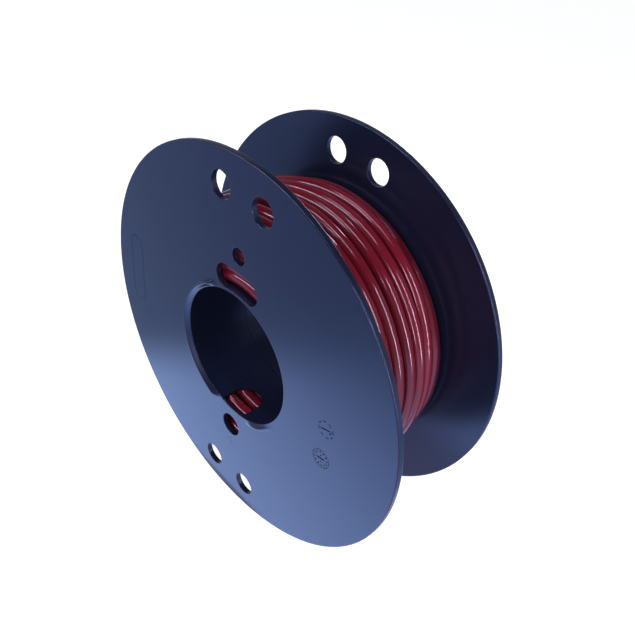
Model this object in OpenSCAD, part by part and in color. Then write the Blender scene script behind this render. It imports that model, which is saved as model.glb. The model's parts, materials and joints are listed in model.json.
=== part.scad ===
// Wire spool: two identical moulded halves, joined at mid width, with one wire wound on the barrel.
// The spool's axis is Y, its origin is the centre of the bore at mid width, and +Z is up.

/* [Flanges] */
// Diameter of each flange
flange_d = 200; // [190:2:220]
// Width over the two outer faces
spool_w = 68; // [66:1:80]
// Thickness of each flange
flange_t = 3; // [2.4:0.2:4]
// Radius of the rounded rim edges
rim_round = 1; // [0.4:0.1:1.1]

/* [Barrel] */
// Diameter of the bore that takes the spindle
bore_d = 70; // [60:1:72]
// Thickness of the barrel wall
barrel_wall = 1.5; // [1.2:0.1:2]
// Length of the lap that joins the two half barrels
lap_len = 2; // [1:0.5:4]
// Play all round in the lap joint
lap_play = 0.05; // [0.02:0.01:0.1]

/* [Collar round the bore] */
// Height of the collar above the outer face
collar_h = 2; // [1:0.5:3]
// Radius of the collar's rounded crest
collar_crest_r = 0.9; // [0.5:0.1:0.9]
// Distance from the bore to the middle of the crest
collar_crest_in = 2.4; // [2:0.1:3]
// Half angle of the gap in the collar beside the wire slot
collar_gap_top = 24; // [22:1:30]
// Half angle of the gap in the collar beside the drive hole
collar_gap_low = 15; // [12:1:20]

/* [Holes] */
// Diameter of the drive hole and of the four wire end holes
hole_d = 12.5; // [8:0.5:14]
// Distance between the two wire end holes of a pair
end_hole_gap = 26; // [18:1:30]
// Distance between the upper and the lower pair
end_hole_span = 166; // [160:1:168]
// Distance of the drive hole from the axis
drive_hole_out = 47; // [46:0.5:50]
// Diameter of the small hole above the wire slot
small_hole_d = 8; // [4:0.5:9]
// Distance of the small hole from the axis
small_hole_out = 56; // [55:0.5:62]

/* [Wire slot and barrel window] */
// Overall width of the curved wire slot in the flange
slot_w = 28; // [20:1:30]
// Height of the wire slot, outward from the barrel
slot_h = 11.5; // [8:0.5:12]
// Width of the window in the barrel wall
window_w = 16; // [10:1:18]
// Distance from the outer face to the window's round end
window_end = 18; // [16:1:22]
// Distance from the outer face to the window's straight end, inside the flange
window_start = 1.5; // [1:0.5:2]

/* [Wire] */
// Diameter over the insulation
wire_d = 6.4; // [5.6:0.1:6.4]
// Diameter of the copper conductor
conductor_d = 4.2; // [3:0.1:4.6]
// Turns in the outer layer, with the first one, which comes up from the layer below
turns = 9; // [7:1:9]
// Number of layers
layers = 7; // [4:1:7]
// Height that each layer adds, less than a diameter because it lies in the grooves
layer_rise = 5.35; // [4.8:0.05:5.5]
// Length of the straight stretch at the cut end
cut_end_len = 14; // [8:1:20]

/* [Hidden] */
$fn = 96;

bore_r = bore_d / 2;
barrel_r = bore_r + barrel_wall;
lap_r = bore_r + barrel_wall / 2;
face_z = spool_w / 2;
inner_z = face_z - flange_t;
slot_land = 0.3;
collar_land = 0.2;
collar_root = 0.5;
lap_side_play = 1;
conductor_play = 0.02;
cut = 1;

// Wire end holes stand at the corners of a tall rectangle
end_hole_x = end_hole_gap / 2;
end_hole_y = end_hole_span / 2;

// Route of the outer layer. The turns lie parallel, and each steps over to the next place in one
// short arc. The first turn lies in the layer below, beside the far flange, and climbs as it steps
// over. The last one ends short of the arc where the turn before it steps over.
rings = 24;
sides = 6;
step_arc = 60;
layer_start = 130;
route_turns = turns - (step_arc + 15) / 360;
rest_gap = 0.1;
layer_r = barrel_r + wire_d / 2 + (layers - 1) * layer_rise;
below_r = layer_r - layer_rise;
straight_to = atan(wire_d / below_r) / 360;
straight_from = route_turns - atan(wire_d / layer_r) / 360;
first_y = inner_z - rest_gap - wire_d / 2;
pitch = 2 * first_y / (turns - 1);
end_wall_angle = 3;

// Between two rings the outer layer is flat, so the core keeps below the flats
side_r = wire_d / 2 * cos(180 / sides);
core_r = layer_r * cos(180 / rings) - side_r - rest_gap;
groove_r = below_r * cos(180 / rings) - side_r - rest_gap;
core_half_w = inner_z - rest_gap;

// The moulding stands on its seam plane, with its outer face up and its wire slot towards +Y

// Points of an arc round a centre, from one angle to another
function arc(c, r, from, to, steps = 6) =
    [for (i = [0 : steps]) let (a = from + (to - from) * i / steps) c + r * [cos(a), sin(a)]];

// Section of one half: barrel wall and flange with a rounded rim
module half_section() {
    rim_x = flange_d / 2 - rim_round;
    polygon([
        [bore_r, lap_play - lap_len],
        [barrel_r, lap_play - lap_len],
        [barrel_r, inner_z],
        each arc([rim_x, inner_z + rim_round], rim_round, -90, 0),
        each arc([rim_x, face_z - rim_round], rim_round, 0, 90),
        [bore_r, face_z]
    ]);
}

// Section of the collar: it rises in a slope from the edge of the bore to a round crest
module collar_section() {
    foot = [bore_r + collar_land, face_z];
    crest = [bore_r + collar_crest_in, face_z + collar_h - collar_crest_r];
    slope = atan2(crest.y - foot.y, crest.x - foot.x) + asin(collar_crest_r / norm(crest - foot));
    root_z = face_z - collar_root;
    polygon([
        [foot.x, root_z],
        [crest.x + collar_crest_r, root_z],
        each arc(crest, collar_crest_r, 0, slope + 90),
        foot
    ]);
}

// Two arcs of collar, with gaps beside the wire slot and beside the drive hole
module collar() {
    arc_angle = 180 - collar_gap_top - collar_gap_low;
    for (from = [collar_gap_low - 90, collar_gap_top + 90])
        rotate([0, 0, from]) rotate_extrude(angle = arc_angle) collar_section();
}

// Ring sector with a rectangular section, symmetric about the direction given
module sector(r_in, r_out, z_low, z_high, middle, half_angle) {
    rotate([0, 0, middle - half_angle]) rotate_extrude(angle = 2 * half_angle)
        translate([r_in, z_low]) square([r_out - r_in, z_high - z_low]);
}

// At the seam one side of the barrel ends in a tongue of the wall's outer half, which laps over
// the other moulding, and the other side ends at the seam with a rebate for that moulding's tongue
module lap_cuts() {
    below = -lap_len - cut;
    sector(bore_r - cut, lap_r + lap_play, below, 0, 0, 90);
    sector(bore_r - cut, barrel_r + cut, below, 0, 180, 90 + lap_side_play);
    sector(lap_r, barrel_r + cut, -cut, lap_len, 180, 90);
}

// Curved slot with round ends, just outside the barrel
module wire_slot() {
    end_r = slot_h / 2;
    low_r = barrel_r + slot_land;
    mid_r = low_r + end_r;
    half_angle = asin((slot_w / 2 - end_r) / mid_r);
    sector(low_r, low_r + slot_h, inner_z - cut, face_z + cut, 90, half_angle);
    for (side = [-1, 1])
        rotate([0, 0, side * half_angle]) translate([0, mid_r, inner_z - cut])
            cylinder(r = end_r, h = flange_t + 2 * cut);
}

// Window through the barrel wall, from the flange to a round end, beside the drive hole
module barrel_window() {
    round_z = face_z - window_end + window_w / 2;
    wall_reach = 2 * barrel_wall + 2 * cut;
    translate([0, wall_reach - barrel_r - cut, round_z]) rotate([90, 0, 0])
        cylinder(d = window_w, h = wall_reach);
    translate([-window_w / 2, -barrel_r - cut, round_z])
        cube([window_w, wall_reach, face_z - window_start - round_z]);
}

module hole(x, y, d) {
    translate([x, y, inner_z - cut]) cylinder(d = d, h = flange_t + 2 * cut);
}

// One half of the spool, as it is moulded
module moulding() {
    difference() {
        union() {
            rotate_extrude() half_section();
            collar();
        }
        lap_cuts();
        wire_slot();
        barrel_window();
        hole(0, -drive_hole_out, hole_d);
        hole(0, small_hole_out, small_hole_d);
        for (sx = [-1, 1])
            for (sy = [-1, 1])
                hole(sx * end_hole_x, sy * end_hole_y, hole_d);
    }
}

module near_half() {
    color([0.10, 0.11, 0.16]) rotate([90, 0, 0]) moulding();
}

module far_half() {
    color([0.09, 0.09, 0.13]) rotate([0, 0, 180]) rotate([90, 0, 0]) moulding();
}

// The layers under the outer one are a plain ring round the barrel, with a groove for the turn
// that leads up out of them
module wire_inner_layers() {
    color([0.42, 0.06, 0.11]) rotate([90, 0, 0]) difference() {
        rotate_extrude() translate([barrel_r + rest_gap, -core_half_w])
            square([core_r - barrel_r - rest_gap, 2 * core_half_w]);
        groove(layer_start, 360 - step_arc / 2, first_y, groove_r);
        groove(layer_start - step_arc, step_arc - end_wall_angle, first_y - pitch, groove_r - rest_gap);
    }
}

// Groove beside the far flange, from an angle on, wide enough for the wire at wire_y. The wide one,
// where the wire steps over, stops short of layer_start and leaves a wall there, on which the
// wire's first end stands square.
module groove(from, angle, wire_y, floor_r) {
    near_y = wire_y - wire_d / 2 - rest_gap;
    sector(floor_r, core_r + cut, -core_half_w - cut, -near_y, from + angle / 2, angle / 2);
}

// Smooth step from 0 to 1
function ease(x) = let (c = min(max(x, 0), 1)) c * c * (3 - 2 * c);

// Directions away from the axis and along a turn, at an angle from +X towards +Z
function radial(a) = [cos(a), 0, sin(a)];
function along(a) = [-sin(a), 0, cos(a)];
function unit(v) = v / norm(v);

// Angle, distance from the axis and place along it, after t turns
function turn_angle(t) = layer_start + 360 * t;
function step_share(t) = 1 - (1 - t + floor(t)) * 360 / step_arc;
function turn_r(t) =
    t < straight_to ? below_r * cos(360 * straight_to) / cos(360 * t) :
    t < 1 ? below_r + layer_rise * ease(step_share(t)) :
    t > straight_from ? layer_r / cos(360 * (t - straight_from)) :
    layer_r;
function turn_y(t) = first_y - pitch * (floor(t) + ease(step_share(t)));
function centre(t) = turn_r(t) * radial(turn_angle(t)) + [0, turn_y(t), 0];

// Rings of the tube: at its ends, where its straight stretches stop, and evenly between
ring_turns = [
    0,
    straight_to,
    for (i = [ceil(straight_to * rings) : floor(straight_from * rings)]) i / rings,
    straight_from,
    route_turns
];
last = len(ring_turns) - 1;
centres = [for (t = ring_turns) centre(t)];

// A ring's points, the outermost two level, so that a corner points at each neighbouring turn
function ring_points(i) =
    let (
        forward = unit(centres[min(i + 1, last)] - centres[max(i - 1, 0)]),
        across = unit(cross(forward, radial(turn_angle(ring_turns[i])))),
        out = cross(across, forward)
    )
    [for (k = [0 : sides - 1])
        let (a = 360 * (k + 0.5) / sides)
        centres[i] + wire_d / 2 * (cos(a) * out + sin(a) * across)];

tube_rings = [for (i = [0 : last]) ring_points(i)];
tube_faces = [
    for (k = [1 : sides - 2]) [0, k, k + 1],
    for (i = [0 : last - 1])
        for (k = [0 : sides - 1])
            let (a = i * sides + k, b = i * sides + (k + 1) % sides)
            each [[a, a + sides, b + sides], [a, b + sides, b]],
    for (k = [1 : sides - 2]) [last * sides, last * sides + k + 1, last * sides + k]
];

// Least distance between the points of rings that lie about one turn apart
function ring_gap(p, q) = min([for (a = p) for (b = q) norm(a - b)]);
reach = 3;
least_gap = min([
    for (i = [0 : last - rings + reach])
        for (j = [i + rings - reach : min(i + rings + reach, last)])
            ring_gap(tube_rings[i], tube_rings[j])
]);
echo(str("wire_outer_layer, least gap to itself in mm: ", least_gap));

module wire_outer_layer() {
    color([0.55, 0.09, 0.16])
        polyhedron([for (ring = tube_rings) each ring], tube_faces, convexity = 10);
}

// The wire runs on in a straight line from the end of the last turn to its cut end
module beyond_last_turn() {
    rotate([0, -turn_angle(straight_from), 0]) translate([layer_r, turn_y(route_turns), wire_d])
        children();
}

// Insulation of the cut end
module wire_cut_end() {
    color([0.55, 0.09, 0.16]) beyond_last_turn() difference() {
        cylinder(d = wire_d, h = cut_end_len);
        translate([0, 0, -cut]) cylinder(d = conductor_d + 2 * conductor_play, h = cut_end_len + 2 * cut);
    }
}

// Stranded conductor inside the cut end, cut off flush with the insulation
module conductor_end() {
    color([0.80, 0.45, 0.28]) beyond_last_turn() cylinder(d = conductor_d, h = cut_end_len);
}

near_half();
far_half();
wire_inner_layers();
wire_outer_layer();
wire_cut_end();
conductor_end();
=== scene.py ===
import json
import math

import bpy
import numpy as np
from mathutils import Matrix, Vector
from mathutils.geometry import delaunay_2d_cdt


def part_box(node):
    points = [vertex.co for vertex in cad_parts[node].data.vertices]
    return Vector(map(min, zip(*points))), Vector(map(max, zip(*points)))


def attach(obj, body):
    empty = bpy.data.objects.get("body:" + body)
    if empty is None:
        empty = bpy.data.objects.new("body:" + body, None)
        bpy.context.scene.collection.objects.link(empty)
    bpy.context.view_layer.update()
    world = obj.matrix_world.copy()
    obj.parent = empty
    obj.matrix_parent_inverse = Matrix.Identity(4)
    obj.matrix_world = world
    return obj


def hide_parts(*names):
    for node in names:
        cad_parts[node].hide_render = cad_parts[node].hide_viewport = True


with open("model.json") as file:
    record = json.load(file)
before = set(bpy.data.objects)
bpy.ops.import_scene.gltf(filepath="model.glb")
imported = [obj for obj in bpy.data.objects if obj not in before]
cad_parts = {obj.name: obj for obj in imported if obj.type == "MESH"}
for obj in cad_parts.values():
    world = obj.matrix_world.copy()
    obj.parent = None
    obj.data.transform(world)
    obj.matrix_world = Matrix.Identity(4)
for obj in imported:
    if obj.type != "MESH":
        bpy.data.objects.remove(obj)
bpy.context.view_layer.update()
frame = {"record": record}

# ---- Spool halves ----------------------------------------------------------------------------
# Two identical injection mouldings of black high impact polystyrene: a flange with half a barrel.
# They are pushed together at mid width, where a tongue laps a rebate round half of each barrel.
# One moulding is worked out standing on its seam plane, outer face up and wire slot towards +Y,
# with sizes in mm, and then turned into both places.
MM = 0.001
mounts = {m["name"]: m for m in frame["record"]["mounts"]}
bore = mounts["spindle_bore"]["dims"]
end_holes = mounts["near_end_holes"]["dims"]
flange_r = float(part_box("near_half")[1].z) / MM
bore_r = bore["r_mm"]
barrel_r = bore_r + 1.5
face_z = bore["length_mm"] / 2
flange_t = mounts["near_drive_hole"]["dims"]["length_mm"]
inner_z = face_z - flange_t
rim_round = 0.6
hole_r = end_holes["hole_r_mm"]
hole_round = 0.35
end_hole_x = end_holes["spacing_x_mm"] / 2
end_hole_y = end_holes["spacing_y_mm"] / 2
drive_hole_out = -mounts["near_drive_hole"]["pos_m"][2] / MM
small_hole_out = mounts["near_small_hole"]["pos_m"][2] / MM
small_hole_r = mounts["near_small_hole"]["dims"]["r_mm"]


def grid_patch(points, normals):
    """Quads between neighbouring rows and columns of a grid, each turned to face its normals."""
    rows, cols = points.shape[:2]
    index = np.arange(rows * cols).reshape(rows, cols)
    corners = [index[:-1, :-1], index[:-1, 1:], index[1:, 1:], index[1:, :-1]]
    quads = np.stack(corners, -1).reshape(-1, 4)
    points = points.reshape(-1, 3)
    normals = np.broadcast_to(normals, (rows, cols, 3)).reshape(-1, 3)
    return turned(points, normals, quads)


def turned(points, normals, faces):
    """The same faces, reversed where the cross product of their diagonals, which is the way they
    face, points against the normals."""
    a, b, c, d = (points[faces[:, k]] for k in (0, 1, 2, -1))
    across = np.cross(c - a, d - b)
    wrong = (across * normals[faces].sum(1)).sum(1) < 0
    faces[wrong] = faces[wrong, ::-1]
    return points, normals, faces


def inside(points, loop):
    """True where a line from the point towards +X crosses the loop an odd number of times."""
    x, y = points[:, :1], points[:, 1:]
    a, b = loop, np.roll(loop, -1, 0)
    crosses = (a[:, 1] > y) != (b[:, 1] > y)
    rise = np.where(a[:, 1] == b[:, 1], 1.0, b[:, 1] - a[:, 1])
    x_there = a[:, 0] + (y - a[:, 1]) * (b[:, 0] - a[:, 0]) / rise
    return (crosses & (x < x_there)).sum(1) % 2 == 1


def face_patch(z, up, loops):
    """Flat face at height z, facing up (+1) or down (-1): the triangles of the loops' constrained
    Delaunay triangulation whose middle lies inside an odd number of loops."""
    flat = np.concatenate(loops)
    ends = np.cumsum([len(loop) for loop in loops])
    edges = []
    for loop, end in zip(loops, ends):
        ring = np.arange(end - len(loop), end)
        edges += np.stack([ring, np.roll(ring, -1)], 1).tolist()
    found = delaunay_2d_cdt([Vector(p) for p in flat.tolist()], edges, [], 0, 1e-6)
    source = np.array([ids[0] for ids in found[3]])
    triangles = source[np.array(found[2])]
    middle = flat[triangles].mean(1)
    odd = sum(inside(middle, loop).astype(int) for loop in loops) % 2 == 1
    points = np.column_stack([flat, np.full(len(flat), z)])
    normals = np.tile([0.0, 0.0, float(up)], (len(flat), 1))
    return turned(points, normals, triangles[odd])


def quarter(centre, radius, start, end, steps=6):
    """Points of an arc in the section plane, and their directions from its centre, in degrees."""
    angle = np.radians(np.linspace(start, end, steps + 1))
    out = np.column_stack([np.cos(angle), np.sin(angle)])
    return np.array(centre) + radius * out, out


def circle(radius, degrees):
    """Points at a radius, at these angles from +X towards +Y."""
    a = np.radians(degrees)
    return radius * np.column_stack([np.cos(a), np.sin(a)])


def swept(outline, outward, section, facing):
    """A section (distance outward, height) carried along an outline: outline + outward * distance.
    The section's normals turn with the outline in the same way."""
    closed = [np.concatenate([x, x[:1]]) for x in (outline, outward)]
    path, out = closed[0][None], closed[1][None]
    flat = path + out * section[:, 0][:, None, None]
    tall = np.broadcast_to(section[:, 1][:, None, None], (*flat.shape[:2], 1))
    level = np.broadcast_to(facing[:, 1][:, None, None], (*flat.shape[:2], 1))
    return grid_patch(np.concatenate([flat, tall], -1),
                      np.concatenate([out * facing[:, 0][:, None, None], level], -1))


def hole_wall(outline, outward, top_round, low_round):
    """Wall of an opening through the flange, with its edges rounded outward at both faces."""
    top, top_out = quarter((top_round, face_z - top_round), top_round, 90, 180)
    low, low_out = quarter((low_round, inner_z + low_round), low_round, 180, 270)
    if low_round == 0:
        low, low_out = low[:1], low_out[:1]
    return swept(outline, outward, np.concatenate([top, low]), np.concatenate([top_out, low_out]))


# Round holes: two pairs for the wire's end, one for the winder's drive pin and a small one
circle_degrees = np.arange(0, 360, 5.0)
unit_circle = circle(1, circle_degrees)
round_holes = [(0, -drive_hole_out, hole_r), (0, small_hole_out, small_hole_r)]
round_holes += [(sx * end_hole_x, sy * end_hole_y, hole_r) for sx in (-1, 1) for sy in (-1, 1)]
patches = []
outer_loops = []
inner_loops = []
for x, y, r in round_holes:
    ring = np.array([x, y]) + r * unit_circle
    patches.append(hole_wall(ring, unit_circle, hole_round, hole_round))
    outer_loops.append(ring + hole_round * unit_circle)
    inner_loops.append(ring + hole_round * unit_circle)

# Wire slot: a kidney round the barrel, two arcs joined by round ends, turned a little to the left
slot_low = barrel_r + 0.05
slot_h = 11.75
slot_w = 28
slot_turn = 0.8
slot_end_r = slot_h / 2
slot_mid = slot_low + slot_end_r
slot_half = math.degrees(math.asin((slot_w / 2 - slot_end_r) / slot_mid))
slot_round = 0.25
slot_ends = (90 - slot_half, 90 + slot_half)
cap_turn = np.linspace(0, 180, 13)[1:-1]
slot_path = []
slot_out = []
for sign, (start, end) in ((-1, slot_ends), (1, slot_ends[::-1])):
    degrees = np.linspace(start, end, 17) + slot_turn
    arc_out = circle(1, degrees)
    slot_path.append(arc_out * (slot_mid + sign * slot_end_r))
    slot_out.append(arc_out * sign)
    cap_out = circle(1, degrees[-1] + (180 - cap_turn if sign == -1 else -cap_turn))
    slot_path.append(circle(slot_mid, [degrees[-1]]) + slot_end_r * cap_out)
    slot_out.append(cap_out)
slot_path = np.concatenate(slot_path)
slot_out = np.concatenate(slot_out)
patches.append(hole_wall(slot_path, slot_out, slot_round, 0))
outer_loops.append(slot_path + slot_round * slot_out)
inner_loops.append(slot_path)

# Rim: two rounded edges with a flat band between them
rim_degrees = np.arange(0, 360, 1.0)
rim_x = flange_r - rim_round
low_edge = quarter((0, inner_z + rim_round), rim_round, -90, 0, 8)
top_edge = quarter((0, face_z - rim_round), rim_round, 0, 90, 8)
patches.append(swept(circle(rim_x, rim_degrees), circle(1, rim_degrees),
                     *(np.concatenate(pair) for pair in zip(low_edge, top_edge))))
outer_loops.append(circle(rim_x, rim_degrees))
inner_loops.append(circle(rim_x, rim_degrees))

# Columns of the barrel, in degrees at the bore, from one side of the barrel window to the other.
# The window has a round end 18 mm below the outer face and a roof 1.5 mm under it, and cuts a
# pocket in the flange. The collar runs in two arcs, with gaps at the wire slot and the drive hole.
window_half_w = 8.0
window_len = 18
window_roof = 1.5
window_z = face_z - window_len + window_half_w
window_top = face_z - window_roof
pocket_y = -(barrel_r + 1)
gap_top = 24
gap_low = 15
collar_taper = 8
window_side = math.degrees(math.asin(window_half_w / bore_r))
window_side_out = math.degrees(math.asin(window_half_w / barrel_r))
wall_columns = np.concatenate([
    [window_side - 90],
    np.linspace(gap_low - 90, gap_low - 90 + collar_taper, 13),
    np.arange(gap_low - 90 + collar_taper + 2, 90 - gap_top - collar_taper, 2),
    np.linspace(90 - gap_top - collar_taper, 90 - gap_top, 13),
    np.arange(90 - gap_top + 2, 90, 2)])
wall_columns = np.concatenate([wall_columns, [90], 180 - wall_columns[::-1]])
window_turn = np.radians(np.linspace(180, 0, 25))
window_x = window_half_w * np.cos(window_turn)
window_low = window_z - window_half_w * np.sin(window_turn)
window_columns = np.degrees(np.arcsin(window_x / bore_r)) - 90


def column(degrees, radius, z):
    """Points at a radius and height above each column, whose angle shifts a little from the bore
    to the outside of the barrel to keep the window's sides parallel. Also their directions."""
    share = (radius - bore_r) / (barrel_r - bore_r)
    from_slot = np.asarray(degrees, float) - 90
    in_window = np.abs(from_slot) > 180 - window_side - 1e-9
    scale = (180 - window_side_out) / (180 - window_side)
    outside = from_slot * (1 + share * (scale - 1))
    x = bore_r * np.sin(np.radians(-from_slot))
    narrow = np.degrees(np.arcsin(np.clip(x / radius, -1, 1)))
    round_window = np.where(from_slot < 0, narrow - 180, 180 + narrow)
    a = np.radians(np.where(in_window, round_window, outside) + 90)
    out = np.stack([np.cos(a), np.sin(a), np.zeros_like(a)], -1)
    return radius * out + np.stack([0 * a, 0 * a, np.broadcast_to(z, a.shape)], -1), out


def wall_patch(degrees, low, high, facing):
    """Grid between two edges (radius, z), each above all columns. Facing is outward and up."""
    rows = [column(degrees, *edge) for edge in (low, high)]
    up = np.array([0, 0, 1])
    return grid_patch(np.stack([points for points, _ in rows]),
                      np.stack([out * facing[0] + up * facing[1] for _, out in rows]))


# Barrel wall: bore and outside, open at the window, down to the seam with its tongue and rebate.
# The inner lips stop just short of each other and leave a fine open line round the bore.
seam_chamfer = 0.05
lip_z = 0.2
lap_r = bore_r + 0.75
lap_top = 2.0
tongue_z = -1.95
edge_z = face_z - hole_round
window_columns_right = window_columns[window_x >= -1e-9]
window_columns_left = window_columns[window_x <= 1e-9] + 360
every_column = np.concatenate([window_columns_right, wall_columns[1:-1], window_columns_left])
low_right = window_low[window_x >= -1e-9]
low_left = window_low[window_x <= 1e-9]
wall_foot = np.concatenate([low_right, np.full(len(wall_columns) - 2, window_z), low_left])
lip_edge = (bore_r, lip_z + seam_chamfer)
lip_foot = (bore_r + seam_chamfer, lip_z)
half_way = int(np.argmin(np.abs(every_column - 90)))
tongue_columns = every_column[:half_way + 1]
rebate_columns = every_column[half_way:]
patches += [
    wall_patch(every_column, (bore_r, window_top), (bore_r, edge_z), (-1, 0)),
    wall_patch(wall_columns, (bore_r, window_z), (bore_r, window_top), (-1, 0)),
    wall_patch(every_column, lip_edge, (bore_r, wall_foot), (-1, 0)),
    wall_patch(every_column, lip_edge, lip_foot, (-0.7, -0.7)),
    wall_patch(every_column, lip_foot, (lap_r, lip_z), (0, -1)),
    wall_patch(tongue_columns, (lap_r, lip_z), (lap_r, tongue_z), (-1, 0)),
    wall_patch(tongue_columns, (lap_r, tongue_z), (barrel_r, tongue_z), (0, -1)),
    wall_patch(tongue_columns, (barrel_r, tongue_z), (barrel_r, lap_top), (1, 0)),
    wall_patch(rebate_columns, (lap_r, lip_z), (lap_r, lap_top), (1, 0)),
    wall_patch(rebate_columns, (lap_r, lap_top), (barrel_r, lap_top), (0, -1)),
    wall_patch(every_column, (barrel_r, lap_top), (barrel_r, wall_foot), (1, 0)),
    wall_patch(wall_columns, (barrel_r, window_z), (barrel_r, inner_z), (1, 0))]


def planar_patch(points, normal, triangles):
    """A flat face of a few points, with its triangles listed one by one."""
    points = np.array(points, float)
    return turned(points, np.tile(np.array(normal, float), (len(points), 1)), np.array(triangles))


# End faces of the tongue, where it stops at each side
for side in (-1, 1):
    step = [(0, side * r, z) for r, z in ((lap_r, lap_top), (lap_r, lip_z), (lap_r, tongue_z),
                                         (barrel_r, tongue_z), (barrel_r, lap_top))]
    patches.append(planar_patch(step, (-1, 0, 0), [(0, 1, 4), (1, 2, 3), (1, 3, 4)]))

# Barrel window: round end, two sides, and the pocket that it leaves in the flange
bore_y = -np.sqrt(bore_r ** 2 - window_x ** 2)
barrel_y = -np.sqrt(barrel_r ** 2 - window_x ** 2)
ones = np.ones_like(window_x)
patches.append(grid_patch(
    np.stack([np.column_stack([window_x, y, window_low]) for y in (bore_y, barrel_y)]),
    np.column_stack([-window_x, 0 * ones, window_z - window_low]) / window_half_w))
patches.append(grid_patch(
    np.stack([np.column_stack([window_x, y, ones * window_top])
              for y in (bore_y, ones * pocket_y)]),
    np.array([0, 0, -1.0])))
patches.append(grid_patch(
    np.stack([np.column_stack([window_x, ones * pocket_y, ones * z])
              for z in (inner_z, window_top)]),
    np.array([0, 1.0, 0])))
for end in (0, -1):
    side = [(window_x[end], y, z) for y, z in (
        (bore_y[end], window_z), (barrel_y[end], window_z), (barrel_y[end], inner_z),
        (pocket_y, inner_z), (pocket_y, window_top), (bore_y[end], window_top))]
    patches.append(planar_patch(side, (-np.sign(window_x[end]), 0, 0),
                                [(0, 1, 2), (0, 2, 5), (5, 2, 3), (5, 3, 4)]))
barrel_ring = column(wall_columns, barrel_r, 0)[0][:, :2]
inner_loops.append(np.concatenate([barrel_ring, np.column_stack([window_x, ones * pocket_y])]))

# Collar: its section runs from the bore up a slope, over a round crest and down to a small fillet.
# Towards the ends of each arc it sinks smoothly into the flat face, and the right arc stands up
# only near its low end.
collar_h = 2.0
crest_r = 0.9
crest = np.array([bore_r + 2.4, face_z + collar_h - crest_r])
collar_foot = np.array([bore_r + 0.15, face_z + 0.1])
lean = crest - collar_foot
slope = math.degrees(math.atan2(lean[1], lean[0]) + math.asin(crest_r / np.hypot(*lean)))
foot_round = 0.4
foot_x = crest[0] + crest_r + foot_round
edge_steps = 6
top_steps = 26
right_rise_from = -35
right_rise_over = 30
right_fall_over = 22


def resampled(points, steps):
    """The same broken line with evenly spaced points."""
    along = np.concatenate([[0], np.cumsum(np.hypot(*np.diff(points, axis=0).T))])
    at = np.linspace(0, along[-1], steps + 1)
    return np.column_stack([np.interp(at, along, points[:, k]) for k in (0, 1)])


flat_edge = quarter((bore_r + hole_round, edge_z), hole_round, 180, 90, edge_steps)[0]
flat_top = np.column_stack([np.linspace(bore_r + hole_round, foot_x, top_steps + 1),
                            np.full(top_steps + 1, face_z)])
full_start = np.array([[bore_r, edge_z], [bore_r + 0.03, face_z],
                       collar_foot, collar_foot + 0.1 * lean])
full_rest = np.concatenate([
    full_start[-1:],
    quarter(crest, crest_r, slope + 90, 0, 16)[0],
    quarter((foot_x, face_z + foot_round), foot_round, 180, 270, 6)[0]])
flat_section = np.concatenate([flat_edge, flat_top[1:]])
full_section = np.concatenate([resampled(full_start, edge_steps),
                               resampled(full_rest, top_steps)[1:]])


def ease(x):
    """Smooth step from 0 to 1."""
    x = np.clip(x, 0, 1)
    return x * x * (3 - 2 * x)


from_slot = np.abs(every_column - 90)
rise = ease((from_slot - gap_top) / collar_taper) * ease((180 - gap_low - from_slot) / collar_taper)
right_arc = ease((right_rise_from - every_column) / right_rise_over)
right_arc *= ease((every_column + 90 - gap_low) / right_fall_over)
rise *= np.where(every_column < 90, right_arc, 1.0)
section = flat_section[:, None] + rise[None, :, None] * (full_section - flat_section)[:, None]
a = np.radians(every_column)
collar = np.stack([section[..., 0] * np.cos(a), section[..., 0] * np.sin(a), section[..., 1]], -1)
along_section = np.gradient(collar, axis=0)
round_bore = np.gradient(collar, a, axis=1)
facing = np.cross(round_bore, along_section)
facing /= -np.linalg.norm(facing, axis=-1, keepdims=True)
facing *= np.sign(facing[-1, :1, 2:])
facing[0] = -np.column_stack([np.cos(a), np.sin(a), 0 * a])
facing[-1] = [0, 0, 1]
patches.append(grid_patch(collar[:edge_steps + 1], facing[:edge_steps + 1]))
in_arc = (from_slot > gap_top - 0.01) & (from_slot < 180 - gap_low + 0.01)
mouth_loop = []
for half in (every_column <= 90, every_column > 90):
    arc = np.flatnonzero(in_arc & half)
    patches.append(grid_patch(collar[edge_steps:, arc], facing[edge_steps:, arc]))
    gap_before = np.flatnonzero(~in_arc & half & (every_column < every_column[arc[0]]))
    gap_after = np.flatnonzero(~in_arc & half & (every_column > every_column[arc[-1]]))
    mouth_loop += [collar[edge_steps, gap_before], collar[edge_steps:, arc[0]],
                   collar[-1, arc[1:-1]], collar[edge_steps:, arc[-1]][::-1],
                   collar[edge_steps, gap_after]]
mouth_loop = np.concatenate(mouth_loop)[:, :2]
repeated = np.hypot(*(mouth_loop - np.roll(mouth_loop, 1, 0)).T) < 1e-6
outer_loops.append(mouth_loop[~repeated])

# Marks that the mould leaves in the outer face: two plain dials, a long ring and short nicks.
# Each is a groove with upright walls and a flat floor.
groove_deep = 0.5


def capsule(start, end, width, steps=6):
    """Outline of a stroke with round ends, and the directions out of it."""
    start, end = np.array(start, float), np.array(end, float)
    turn = math.degrees(math.atan2(*(end - start)[::-1]))
    head = circle(1, turn + np.linspace(-90, 90, steps + 1))
    tail = circle(1, turn + np.linspace(90, 270, steps + 1))
    return np.concatenate([end + width / 2 * head, start + width / 2 * tail])


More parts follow.
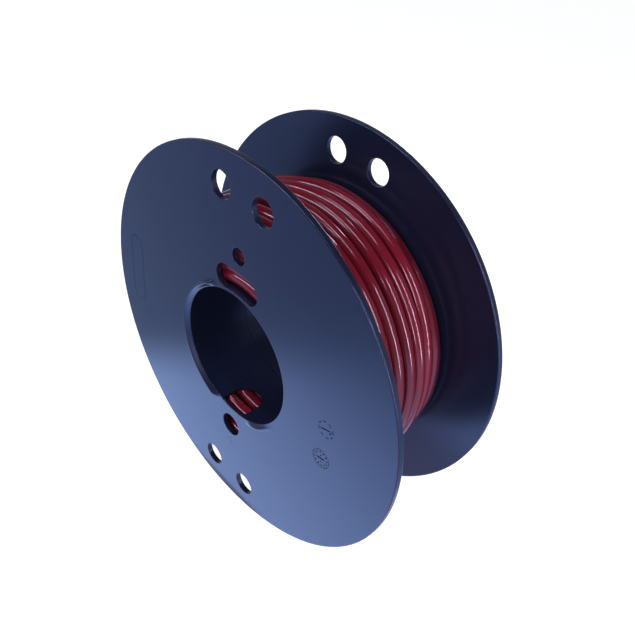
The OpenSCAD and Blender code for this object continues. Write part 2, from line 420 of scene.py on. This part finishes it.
def engrave(*outlines):
    """Cuts a groove: the outlines become walls, and a floor closes it."""
    floor_z = face_z - groove_deep
    for k, line in enumerate(outlines):
        ring = np.concatenate([line, line[:1]])
        step = np.roll(line, -1, 0) - np.roll(line, 1, 0)
        into = np.column_stack([-step[:, 1], step[:, 0]]) * (1 if k == 0 else -1)
        into /= np.linalg.norm(into, axis=1, keepdims=True)
        into = np.concatenate([into, into[:1]])
        walls = np.stack([np.column_stack([ring, np.full(len(ring), z)])
                          for z in (face_z, floor_z)])
        normals = np.column_stack([into, np.zeros(len(into))])
        patches.append(grid_patch(walls, np.stack([normals, normals])))
        outer_loops.append(line)
    patches.append(face_patch(floor_z, 1, list(outlines)))


def stroke(centre, radius, start, end, width):
    """Engraves a straight stroke, given by distances along and across a direction from a centre."""
    engrave(capsule(np.array(centre) + radius * np.array(start),
                    np.array(centre) + radius * np.array(end), width))


# A dial with twelve ticks round a plain hand
dial = np.array([61.6, -13.5])
dial_r = 4.9
ring_half_w = 0.15
dial_ring = circle(1, np.arange(0, 360, 7.5))
engrave(dial + (dial_r + ring_half_w) * dial_ring, dial + (dial_r - ring_half_w) * dial_ring)
for degrees in np.arange(15, 360, 30):
    spoke = circle(1, [degrees])[0]
    stroke(dial, dial_r, 0.66 * spoke, 0.84 * spoke, 0.5)
stroke(dial, dial_r, (-0.42, -0.06), (0.36, 0.1), 0.8)
for degrees in (100, 280):
    spoke = circle(0.34, [degrees])[0]
    stroke(dial, dial_r, spoke * 0.99, spoke * 1.01, 0.75)

# A dial of eight dashes round a plain arrow
arrow_dial = np.array([61.6, 5.0])
arrow_dial_r = 4.2
for degrees in np.arange(20, 380, 45):
    dash = circle(1, [degrees - 10, degrees + 10])
    stroke(arrow_dial, arrow_dial_r, dash[0], dash[1], 0.45)
pointer = circle(1, [18, 198, -20, 62])
stroke(arrow_dial, arrow_dial_r, 0.52 * pointer[0], 0.7 * pointer[1], 0.6)
stroke(arrow_dial, arrow_dial_r, 0.76 * pointer[0], 0.62 * pointer[2], 0.45)

# A long ring, whose two half circles are set apart, and three nicks outside the drive hole
half_ring = np.arange(0, 181, 15)
long_ring = np.concatenate([circle(1, half_ring), circle(1, half_ring + 180)])
long_centre = np.array([-82.0, 3.0])
long_half = 15.0
long_outer_r = 5.1
long_inner_r = 4.85
long_shift = np.array([0, long_half]) * np.repeat([1, -1], len(half_ring))[:, None]
engrave(long_centre + long_outer_r * long_ring + long_shift,
        long_centre + long_inner_r * long_ring + long_shift)
for x, y, length in ((-1.2, -57.2, 1.4), (0.9, -58.4, 2.2), (2.7, -60.9, 1.0)):
    engrave(capsule((x, y), (x + 0.3 * length, y - length), 0.35))

patches.append(face_patch(face_z, 1, outer_loops))
patches.append(face_patch(inner_z, -1, inner_loops))


weld_mm = 1e-4


def welded_mesh(name, patches, stand):
    """One mesh of all patches: points that coincide become one, and each patch keeps its own
    normals. Stand is a turn of the moulding about the origin."""
    points = np.concatenate([p for p, _, _ in patches])
    normals = np.concatenate([n for _, n, _ in patches])
    starts = np.cumsum([0] + [len(p) for p, _, _ in patches])
    cells = np.round(points / weld_mm).astype(np.int64)
    _, first, merged = np.unique(cells, axis=0, return_index=True, return_inverse=True)
    merged = merged.ravel()
    corners = []
    for (_, _, faces), start in zip(patches, starts):
        corners += (faces + start).tolist()
    welded = [merged[face].tolist() for face in corners]
    turn = np.array(stand.to_3x3())
    mesh = bpy.data.meshes.new(name)
    mesh.from_pydata((points[first] * MM @ turn.T).tolist(), [], welded)
    mesh.polygons.foreach_set("use_smooth", np.ones(len(mesh.polygons), bool))
    flat_normals = (normals @ turn.T)[np.concatenate([np.array(f) for f in corners])]
    mesh.normals_split_custom_set(flat_normals.tolist())
    mesh.update()
    return mesh


def linear(code):
    """Linear colour of an sRGB hex value."""
    srgb = np.array([int(code[i:i + 2], 16) for i in (1, 3, 5)]) / 255
    level = np.where(srgb <= 0.04045, srgb / 12.92, ((srgb + 0.055) / 1.055) ** 2.4)
    return (*level.tolist(), 1.0)


def add_node(tree, kind, inputs=None, **settings):
    """Adds one node. Settings are its properties, and inputs maps a socket to a value or a link."""
    node = tree.nodes.new(kind)
    for name, value in settings.items():
        setattr(node, name, value)
    for key, value in (inputs or {}).items():
        if isinstance(value, bpy.types.NodeSocket):
            tree.links.new(value, node.inputs[key])
        else:
            node.inputs[key].default_value = value
    return node


def empty_tree(owner):
    """The node tree of a material or world, with nothing in it."""
    owner.use_nodes = True
    owner.node_tree.nodes.clear()
    return owner.node_tree


def new_material(name):
    """An empty material with its output, and the shader that goes into it."""
    material = bpy.data.materials.new(name)
    tree = empty_tree(material)
    shader = add_node(tree, "ShaderNodeBsdfPrincipled")
    add_node(tree, "ShaderNodeOutputMaterial", {"Surface": shader.outputs[0]})
    return material, tree, shader


# Moulded polystyrene, black with a blue cast: a satin skin with a fine spark-eroded grain, slow
# waves from cooling, and roughness that drifts a little over the face. The grain is drawn 0.9 mm
# wide, several times coarser than the real one, so that it shows.
black_plastic, tree, shader = new_material("black_polystyrene_moulded_satin")
place = add_node(tree, "ShaderNodeTexCoord").outputs["Object"]
drift = add_node(tree, "ShaderNodeTexNoise", {"Vector": place, "Scale": 1 / 0.045, "Detail": 3.0})
grain = add_node(tree, "ShaderNodeTexNoise", {"Vector": place, "Scale": 1 / 0.0009, "Detail": 2.0})
waves = add_node(tree, "ShaderNodeTexNoise", {"Vector": place, "Scale": 1 / 0.038, "Detail": 1.0})
tone = add_node(tree, "ShaderNodeMix", {"Factor": drift.outputs["Fac"], "A": linear("#141826"),
                                        "B": linear("#191e30")}, data_type="RGBA")
gloss = add_node(tree, "ShaderNodeMapRange", {"Value": drift.outputs["Fac"], "To Min": 0.20,
                                              "To Max": 0.29})
slow = add_node(tree, "ShaderNodeBump", {"Height": waves.outputs["Fac"], "Strength": 0.25,
                                         "Distance": 0.0006})
fine = add_node(tree, "ShaderNodeBump", {"Height": grain.outputs["Fac"], "Strength": 0.25,
                                         "Distance": 0.00003, "Normal": slow.outputs["Normal"]})
for key, value in (("Base Color", tone.outputs["Result"]), ("Roughness", gloss.outputs["Result"]),
                   ("Normal", fine.outputs["Normal"])):
    tree.links.new(value, shader.inputs[key])
shader.inputs["IOR"].default_value = 1.59
shader.inputs["Specular Tint"].default_value = linear("#c4d4ff")

stand_near = Matrix.Rotation(math.radians(90), 4, "X")
stand_far = Matrix.Rotation(math.radians(180), 4, "Z") @ stand_near
for name, stand in (("near_half", stand_near), ("far_half", stand_far)):
    mesh = welded_mesh(name + "_moulding", patches, stand)
    half = bpy.data.objects.new(name + "_moulding", mesh)
    bpy.context.collection.objects.link(half)
    half.data.materials.append(black_plastic)
    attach(half, "root")
    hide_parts(name)

# ---- Wire ------------------------------------------------------------------------------------
# One length of stranded building wire in glossy red PVC, wound in seven layers by a machine that
# steps over to the next place in one short arc of every turn. The outer layer is its own piece.
wire_d = 6.4
layer_rise = 5.35
layers = 7
places = 9
first_y = inner_z - 0.1 - wire_d / 2
layer_r = [barrel_r + wire_d / 2 + k * layer_rise for k in range(layers)]
inner_start = 210.0
outer_start = 130.0
step_turns = 60 / 360
rest_turns = 15 / 360


def stepped(values, step_at, t):
    """The first value plus every step up to now: each eases to the next value from its place on."""
    share = ease((t[:, None] - step_at) / step_turns)
    return values[0] + share @ np.diff(values)


def tube(centres, out_hint, radius, sides, length):
    """Ring of points round each centre, across the path: centre + radius * (cos out + sin across).
    Ends are closed by a flat disc. Returns points, faces and, for each face corner, the place
    along the wire and round it, in mm."""
    forward = np.gradient(centres, axis=0)
    forward /= np.linalg.norm(forward, axis=1, keepdims=True)
    across = np.cross(forward, out_hint)
    across /= np.linalg.norm(across, axis=1, keepdims=True)
    out = np.cross(across, forward)
    a = np.radians(np.arange(sides) * 360 / sides)
    rings = centres[:, None] + radius * (np.cos(a)[None, :, None] * out[:, None]
                                         + np.sin(a)[None, :, None] * across[:, None])
    n = len(centres)
    index = np.arange(n * sides).reshape(n, sides)
    beside = np.roll(index, -1, 1)
    quads = np.stack([index[:-1], beside[:-1], beside[1:], index[1:]], -1).reshape(-1, 4)
    girth = 2 * np.pi * radius / sides
    place = np.arange(sides)[None, :, None] * girth
    u = np.broadcast_to(length[:-1, None, None], (n - 1, sides, 1))
    v_low = np.broadcast_to(place, (n - 1, sides, 1))
    u_next = np.broadcast_to(length[1:, None, None], (n - 1, sides, 1))
    uv = np.concatenate([u, v_low, u, v_low + girth, u_next, v_low + girth, u_next, v_low], -1)
    caps = [index[0][::-1].tolist(), index[-1].tolist()]
    return rings.reshape(-1, 3), quads, caps, uv.reshape(-1, 2), np.zeros((2 * sides, 2))


def tube_mesh(name, parts):
    """One mesh of tubes, with the place along and round each as its UV map, in metres."""
    points, faces, uvs = [], [], []
    count = 0
    for rings, quads, caps, uv, cap_uv in parts:
        points.append(rings)
        faces += (quads + count).tolist() + [[i + count for i in cap] for cap in caps]
        uvs += [uv, cap_uv]
        count += len(rings)
    mesh = bpy.data.meshes.new(name)
    mesh.from_pydata((np.concatenate(points) * MM).tolist(), [], faces)
    mesh.polygons.foreach_set("use_smooth", np.array([len(f) == 4 for f in faces]))
    mesh.uv_layers.new(name="along_and_round").data.foreach_set(
        "uv", (np.concatenate(uvs) * MM).astype(np.float32).ravel())
    mesh.update()
    return mesh


def path_points(angle, level, row):
    """Points of the centre line, and the directions away from the axis."""
    out = np.column_stack([np.cos(angle), 0 * angle, np.sin(angle)])
    return out * level[:, None] + np.column_stack([0 * row, row, 0 * row]), out


# The layers lie closer over the top of the spool, where the wire was pulled tight over them: by
# top_dip at the outer layer, and by near_dip more beside the near flange
top_dip = 1.0
near_dip = 3.0
near_dip_reach = 20
dip_at = 118
dip_half_arc = 63
dip_fade = 40


def flattened(level, angle, row):
    """The same levels less the dip, each layer by its share of it: the share grows evenly from
    none at the first layer, and the dip fades out at both ends of its arc."""
    from_dip = np.abs(np.degrees(angle) % 360 - dip_at)
    share = (level - layer_r[0]) / (layer_r[-1] - layer_r[0])
    dip = top_dip + near_dip * ease(-row / near_dip_reach)
    return level - dip * share * ease((dip_half_arc - from_dip) / dip_fade)


def path_length(points):
    """Length of the path up to each point."""
    return np.concatenate([[0], np.cumsum(np.linalg.norm(np.diff(points, axis=0), axis=1))])


# Places of the outer layer's turns, from the far flange on. The first turn has sunk beside that
# flange, the second between it and the third, and the others lie a little unevenly.
rows = np.array([first_y, 20.4, 12.4, 5.6, -1.7, -8.8, -14.6, -21.1, -first_y])
levels = layer_r[-1] + np.array([-3.3, -1.6, 0, 0, -0.3, 0.5, 0, 0, 0])

# Layers under it, by turns from flange to flange and back. The first has a gap before its last
# turn, and the last has its turns half way between those of the outer layer, which rest on them.
inner_pitch = 2 * first_y / (places - 0.5)
first_gap = 1.6
last_turn_off = 3.3
inner_rows = []
for k in range(layers - 1):
    row = inner_pitch * np.arange(places) - first_y
    if k == 0:
        row[1:] += first_gap
        row = row[::-1]
    elif k % 2 == 0:
        row = -row
    inner_rows.append(row)
inner_rows[-1] = np.append(((rows[2:] + rows[1:-1]) / 2)[:0:-1], rows[2] + last_turn_off)
inner_levels = np.repeat(layer_r[:-1], [len(row) for row in inner_rows])
inner_levels = np.append(inner_levels, inner_levels[-1])
inner_rows = np.append(np.concatenate(inner_rows), first_y)
inner_turns = len(inner_rows) - 1 - (inner_start - outer_start) / 360
inner_rings_per_turn = 96
inner_sides = 12
step_at = np.arange(1, len(inner_rows)) - step_turns
step_at[-1] = inner_turns - step_turns
t = np.linspace(0, inner_turns, int(inner_turns * inner_rings_per_turn) + 1)
angle = np.radians(inner_start + 360 * t)
row = stepped(inner_rows, step_at, t)
level = flattened(stepped(inner_levels, step_at, t), angle, row)
centres, out = path_points(angle, level, row)
inner_r = wire_d / 2 - 0.02
inner = bpy.data.objects.new("wire_inner_winding", tube_mesh(
    "wire_inner_winding", [tube(centres, out, inner_r, inner_sides, path_length(centres))]))

# Outer layer: late is how far past its plain place each turn begins to step over. The wire is
# tucked down round its first step, and its end leaves the winding in a straight line.
route_turns = places - step_turns - rest_turns
straight_from = route_turns - math.atan(wire_d / layer_r[-1]) / (2 * math.pi)
late = np.array([32, 4, 0, 4, 8, 13, 9, 4]) / 360
tuck = 1.2
tuck_from = 0.68
tuck_in = 0.125
tuck_until = 1.1
tuck_out = 0.1
outer_rings_per_turn = 180
outer_sides = 24
step_at = np.arange(1, places) - step_turns + late
t = np.linspace(0, route_turns, int(route_turns * outer_rings_per_turn) + 1)
angle = np.radians(outer_start + 360 * t)
row = stepped(rows, step_at, t)
level = flattened(stepped(levels, step_at, t), angle, row)
level = level - tuck * ease((t - tuck_from) / tuck_in) * ease((tuck_until - t) / tuck_out)
level = np.where(t > straight_from, layer_r[-1] / np.cos(2 * np.pi * (t - straight_from)), level)

# Between its steps a turn sways a little about its place: three waves and seven smaller ones, in
# phases of its own. The second turn leans 1 mm to either side, twice round.
slow_sway = 0.16
slow_waves = 3
quick_sway = 0.1
quick_waves = 7
sway_fade = 0.08
sway_until = 1 - step_turns - 0.03
last_sway = route_turns - 0.3
lean_phase = math.radians(35)
lean_end = 0.1
phases = np.random.default_rng(5).uniform(0, 2 * np.pi, (places + 1, 2))
turn_now = np.clip(np.floor(t + step_turns / 2).astype(int), 0, places)
sway = slow_sway * np.sin(slow_waves * angle + phases[turn_now, 0])
sway += quick_sway * np.sin(quick_waves * angle + phases[turn_now, 1])
settled = ease((t % 1) / sway_fade) * ease((sway_until - t % 1) / sway_fade)
row += sway * settled * (t < last_sway) * (t > 1)
lean = np.sin(2 * (angle - lean_phase))
row += lean * ease((t - 1) / sway_fade) * ease((2 - t) / lean_end)
centres, out = path_points(angle, level, row)
outer = bpy.data.objects.new("wire_outer_winding", tube_mesh(
    "wire_outer_winding", [tube(centres, out, wire_d / 2, outer_sides, path_length(centres))]))

# Red PVC insulation, drawn through a round die: smooth and glossy, with slow changes of tone and
# faint lines along the wire from the die, drawn 1.2 mm apart, coarser than real, so that they show
red_pvc, tree, shader = new_material("red_pvc_insulation_glossy")
place = add_node(tree, "ShaderNodeTexCoord").outputs["UV"]
stretched = add_node(tree, "ShaderNodeMapping", {"Vector": place, "Scale": (0.02, 1.0, 1.0)})
lines = add_node(tree, "ShaderNodeTexNoise", {"Vector": stretched.outputs[0], "Scale": 1 / 0.0012,
                                              "Detail": 2.0})
tone = add_node(tree, "ShaderNodeTexNoise", {"Vector": place, "Scale": 1 / 0.06, "Detail": 2.0})
shade = add_node(tree, "ShaderNodeMix", {"Factor": tone.outputs["Fac"], "A": linear("#6c1421"),
                                         "B": linear("#7a1a28")}, data_type="RGBA")
gloss = add_node(tree, "ShaderNodeMapRange", {"Value": lines.outputs["Fac"], "To Min": 0.10,
                                              "To Max": 0.17})
drawn = add_node(tree, "ShaderNodeBump", {"Height": lines.outputs["Fac"], "Strength": 0.2,
                                          "Distance": 0.00006})
for key, value in (("Base Color", shade.outputs["Result"]), ("Roughness", gloss.outputs["Result"]),
                   ("Normal", drawn.outputs["Normal"])):
    tree.links.new(value, shader.inputs[key])
shader.inputs["IOR"].default_value = 1.54

for piece, node in ((inner, "wire_inner_layers"), (outer, "wire_outer_layer")):
    bpy.context.collection.objects.link(piece)
    piece.data.materials.append(red_pvc)
    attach(piece, "root")
    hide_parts(node)

# ---- Cut end ---------------------------------------------------------------------------------
# The last stretch of the wire, cut off square. The insulation is a tube, and inside it lie seven
# bare copper strands, six of them twisted round the one in the middle.
cut_end_len = 14.0
conductor_r = 2.1
end_angle = math.radians(outer_start + 360 * straight_from)
end_out = np.array([math.cos(end_angle), 0, math.sin(end_angle)])
end_along = np.array([-math.sin(end_angle), 0, math.cos(end_angle)])
end_start = end_out * layer_r[-1] + end_along * wire_d + np.array([0, -first_y, 0])
skin_round = 0.15
skin_bore = conductor_r + 0.02
skin_sides = 32
lip_at = cut_end_len - skin_round
outer_lip = quarter((wire_d / 2 - skin_round, lip_at), skin_round, 0, 90, 4)[0]
inner_lip = quarter((skin_bore + skin_round, lip_at), skin_round, 90, 180, 4)[0]
start = [(wire_d / 2, 0)]
section = np.concatenate([start, outer_lip, inner_lip, [(skin_bore, 0)], start])
a = np.radians(np.linspace(0, 360, skin_sides + 1))
spin = end_out * np.cos(a)[:, None] + np.array([0, 1, 0]) * np.sin(a)[:, None]
skin = end_start + section[:, :1, None] * spin[None] + section[:, 1][:, None, None] * end_along
mesh = bpy.data.meshes.new("wire_end_insulation")
index = np.arange(skin.shape[0] * skin_sides).reshape(-1, skin_sides)[:-1]
index = np.concatenate([index, index[:1]])
beside = np.roll(index, -1, 1)
quads = np.stack([index[:-1], index[1:], beside[1:], beside[:-1]], -1).reshape(-1, 4)
mesh.from_pydata((skin[:-1, :-1].reshape(-1, 3) * MM).tolist(), [], quads.tolist())
mesh.polygons.foreach_set("use_smooth", np.ones(len(mesh.polygons), bool))
mesh.set_sharp_from_angle(angle=math.radians(50))
corner = np.array([c for q in quads for c in q])
girth = corner % skin_sides * wire_d * math.pi / skin_sides
uv = np.column_stack([corner // skin_sides * 1.0, girth]) * MM
mesh.uv_layers.new(name="along_and_round").data.foreach_set("uv", uv.astype(np.float32).ravel())
mesh.update()
insulation = bpy.data.objects.new("wire_end_insulation", mesh)
insulation.data.materials.append(red_pvc)

# Strands: the last one runs straight in the middle, and the others go once round it in one lay
strand_r = conductor_r / 3
strands_round = 6
strand_rings = 43
strand_sides = 12
lay = 45.0
along = np.linspace(0, cut_end_len, strand_rings)
strands = []
for k in range(strands_round + 1):
    a = np.radians(360 / strands_round * k) + 2 * np.pi * along / lay
    off = 0 if k == strands_round else 2 * strand_r
    spin = end_out * np.cos(a)[:, None] + np.array([0, 1, 0]) * np.sin(a)[:, None]
    line = end_start + off * spin + end_along * along[:, None]
    strands.append(
        tube(line, np.broadcast_to(end_out, line.shape), strand_r, strand_sides, along))
conductor = bpy.data.objects.new("copper_strands", tube_mesh("copper_strands", strands))

# Bare annealed copper, drawn fine and cut with pliers: warm metal with soft lines along each
# strand, 0.4 mm apart
copper, tree, shader = new_material("bare_copper_drawn")
place = add_node(tree, "ShaderNodeTexCoord").outputs["UV"]
stretched = add_node(tree, "ShaderNodeMapping", {"Vector": place, "Scale": (0.05, 1.0, 1.0)})
lines = add_node(tree, "ShaderNodeTexNoise", {"Vector": stretched.outputs[0], "Scale": 1 / 0.0004})
shade = add_node(tree, "ShaderNodeMix", {"Factor": lines.outputs["Fac"], "A": linear("#c9825c"),
                                         "B": linear("#e0a07a")}, data_type="RGBA")
drawn = add_node(tree, "ShaderNodeBump", {"Height": lines.outputs["Fac"], "Strength": 0.3,
                                          "Distance": 0.00003})
tree.links.new(shade.outputs["Result"], shader.inputs["Base Color"])
tree.links.new(drawn.outputs["Normal"], shader.inputs["Normal"])
shader.inputs["Metallic"].default_value = 1.0
shader.inputs["Roughness"].default_value = 0.28
conductor.data.materials.append(copper)
for piece, node in ((insulation, "wire_cut_end"), (conductor, "conductor_end")):
    bpy.context.collection.objects.link(piece)
    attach(piece, "root")
    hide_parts(node)

# ---- Table and light -------------------------------------------------------------------------
# The spool stands on its two rims on a pale table, which shows white, under softboxes in a dim
# room. The camera looks at the near flange from above on its right.
BACKDROP_RAYS = ("Is Camera Ray", "Is Glossy Ray", "Is Transmission Ray")
backdrop_white = 0.95


def backdrop_ray(tree):
    """1 for rays that show the backdrop itself, and 0 for those that carry its light."""
    path = add_node(tree, "ShaderNodeLightPath")
    total = path.outputs[BACKDROP_RAYS[0]]
    for name in BACKDROP_RAYS[1:]:
        total = add_node(tree, "ShaderNodeMath", {0: total, 1: path.outputs[name]},
                         operation="MAXIMUM").outputs[0]
    return total


def flat_sheet(name, x, y, z):
    """A rectangle at height z that faces up, from its two ranges."""
    mesh = bpy.data.meshes.new(name)
    corners = [(x[0], y[0], z), (x[1], y[0], z), (x[1], y[1], z), (x[0], y[1], z)]
    mesh.from_pydata(corners, [], [(0, 1, 2, 3)])
    return mesh


# Table paint: it shows as white to the camera, and its reflections are dimmer and bluer
table_z = float(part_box("near_half")[0].z)
table_side = (-3.0, 3.0)
table_mesh = flat_sheet("table", table_side, table_side, table_z)
table = bpy.data.objects.new("table", table_mesh)
bpy.context.collection.objects.link(table)
table_paint = bpy.data.materials.new("pale_table_paint")
tree = empty_tree(table_paint)
paint = add_node(tree, "ShaderNodeBsdfDiffuse", {"Color": (0.3, 0.31, 0.33, 1)})
glow_colour = add_node(tree, "ShaderNodeMix", {
    "Factor": add_node(tree, "ShaderNodeLightPath").outputs["Is Camera Ray"],
    "A": (0.5, 0.53, 0.92, 1), "B": (1, 1, 1, 1)}, data_type="RGBA")
glow = add_node(tree, "ShaderNodeEmission", {
    "Color": glow_colour.outputs["Result"],
    "Strength": add_node(tree, "ShaderNodeMath", {0: backdrop_ray(tree), 1: backdrop_white},
                         operation="MULTIPLY").outputs[0]})
both = add_node(tree, "ShaderNodeAddShader", {0: paint.outputs[0], 1: glow.outputs[0]})
add_node(tree, "ShaderNodeOutputMaterial", {"Surface": both.outputs[0]})
table_mesh.materials.append(table_paint)

# The room: gloss mirrors dim walls up to 30 degrees above the horizon and a darker ceiling from
# 38 degrees on. The camera sees white behind the table.
world = bpy.data.worlds.new("dim_room_white_backdrop")
bpy.context.scene.world = world
tree = empty_tree(world)
upward = add_node(tree, "ShaderNodeSeparateXYZ", {
    0: add_node(tree, "ShaderNodeTexCoord").outputs["Generated"]}).outputs["Z"]
walls = add_node(tree, "ShaderNodeMapRange", {"Value": upward, "From Min": 0.5, "From Max": 0.62,
                                              "To Min": 0.3, "To Max": 0.04}).outputs["Result"]
room_colour = (0.8, 0.88, 1.0, 1)
seen = add_node(tree, "ShaderNodeBackground", {"Color": room_colour, "Strength": walls})
lit = add_node(tree, "ShaderNodeBackground", {"Color": room_colour, "Strength": 0.1})
both = add_node(tree, "ShaderNodeMixShader", {
    0: backdrop_ray(tree), 1: lit.outputs[0], 2: seen.outputs[0]})
behind = add_node(tree, "ShaderNodeBackground", {
    "Color": (1, 1, 1, 1), "Strength": backdrop_white})
shown = add_node(tree, "ShaderNodeMixShader", {
    0: add_node(tree, "ShaderNodeLightPath").outputs["Is Camera Ray"],
    1: both.outputs[0], 2: behind.outputs[0]})
add_node(tree, "ShaderNodeOutputWorld", {"Surface": shown.outputs[0]})


lamp_away = 0.7


def softbox(name, azimuth, elevation, length, width, power):
    """A long lamp that points at the spool, with its long side running round the spool's axis.
    Angles in degrees, from +X towards +Y and up, sizes in metres."""
    lamp = bpy.data.lights.new(name, "AREA")
    lamp.shape = "RECTANGLE"
    lamp.size = length
    lamp.size_y = width
    lamp.energy = power
    lamp.color = (0.8, 0.76, 1.0)
    holder = bpy.data.objects.new(name, lamp)
    level = math.cos(math.radians(elevation))
    away = Vector((level * math.cos(math.radians(azimuth)), level * math.sin(math.radians(azimuth)),
                   math.sin(math.radians(elevation))))
    round_axis = Vector((0, 1, 0)).cross(away).normalized()
    turn = Matrix((round_axis, away.cross(round_axis), away)).transposed()
    holder.matrix_world = Matrix.Translation(lamp_away * away) @ turn.to_4x4()
    holder.visible_camera = False
    bpy.context.collection.objects.link(holder)


# Narrow lamps draw thin lines of light along the turns of wire. The wide one behind shines
# through the bore.
softbox("right_softbox", 12, 18, 0.85, 0.024, 4.6)
softbox("low_right_softbox", -54, 16, 0.5, 0.04, 2.4)
softbox("top_softbox", -110, 78, 0.5, 0.02, 1.2)
softbox("left_softbox", -126, 38, 0.6, 0.05, 2.0)
softbox("back_softbox", 104, 14, 0.3, 0.2, 3.0)

# A glowing panel lies on the table before each flange. Only reflections show it, and it fades
# away from the spool and to one side, which gives the flange its blue gradient.
panel_x = (-0.5, 0.14)
panel_y = (-0.5, -0.036)
panel_mesh = flat_sheet("table_panel", panel_x, panel_y, table_z + 0.0005)
for name, turn in (("table_panel_near", 0), ("table_panel_far", 180)):
    panel = bpy.data.objects.new(name, panel_mesh)
    panel.rotation_euler = (0, 0, math.radians(turn))
    bpy.context.collection.objects.link(panel)
    panel.visible_camera = False
    panel.visible_shadow = False
    panel.visible_diffuse = False
    panel.visible_transmission = False
panel_light = bpy.data.materials.new("panel_light")
tree = empty_tree(panel_light)
place = add_node(tree, "ShaderNodeTexCoord").outputs["Object"]
outward = add_node(tree, "ShaderNodeSeparateXYZ", {0: place}).outputs["Y"]
away = add_node(tree, "ShaderNodeMapRange", {"Value": outward, "From Min": -0.25,
                                             "From Max": -0.07}, interpolation_type="SMOOTHSTEP")
slant = add_node(tree, "ShaderNodeVectorMath", {0: place, 1: (0.755, 0.655, 0)},
                 operation="DOT_PRODUCT")
aside = add_node(tree, "ShaderNodeMapRange", {"Value": slant.outputs["Value"], "From Min": -0.155,
                                              "From Max": -0.1}, interpolation_type="SMOOTHSTEP")
bright = add_node(tree, "ShaderNodeMath", {0: away.outputs["Result"], 1: aside.outputs["Result"]},
                  operation="MULTIPLY")
strength = add_node(tree, "ShaderNodeMapRange", {"Value": bright.outputs[0], "To Min": 0.85,
                                                 "To Max": 2.8})
panel_glow = add_node(tree, "ShaderNodeEmission", {"Color": (0.41, 0.57, 1.0, 1),
                                                   "Strength": strength.outputs["Result"]})
add_node(tree, "ShaderNodeOutputMaterial", {"Surface": panel_glow.outputs[0]})
panel_mesh.materials.append(panel_light)

# Camera: its long side takes in 53 degrees. Its place is in metres and its turn in degrees.
camera_at = (0.171574, -0.174476, 0.204994)
camera_turn = (50.9191, -6.5596, 46.5955)
camera_data = bpy.data.cameras.new("camera")
camera_data.lens = 36.0
camera_data.sensor_width = 36.0
camera_data.clip_start = 0.01
camera = bpy.data.objects.new("camera", camera_data)
camera.location = camera_at
camera.rotation_euler = [math.radians(x) for x in camera_turn]
bpy.context.collection.objects.link(camera)
bpy.context.scene.camera = camera
bpy.context.scene.view_settings.view_transform = "Standard"
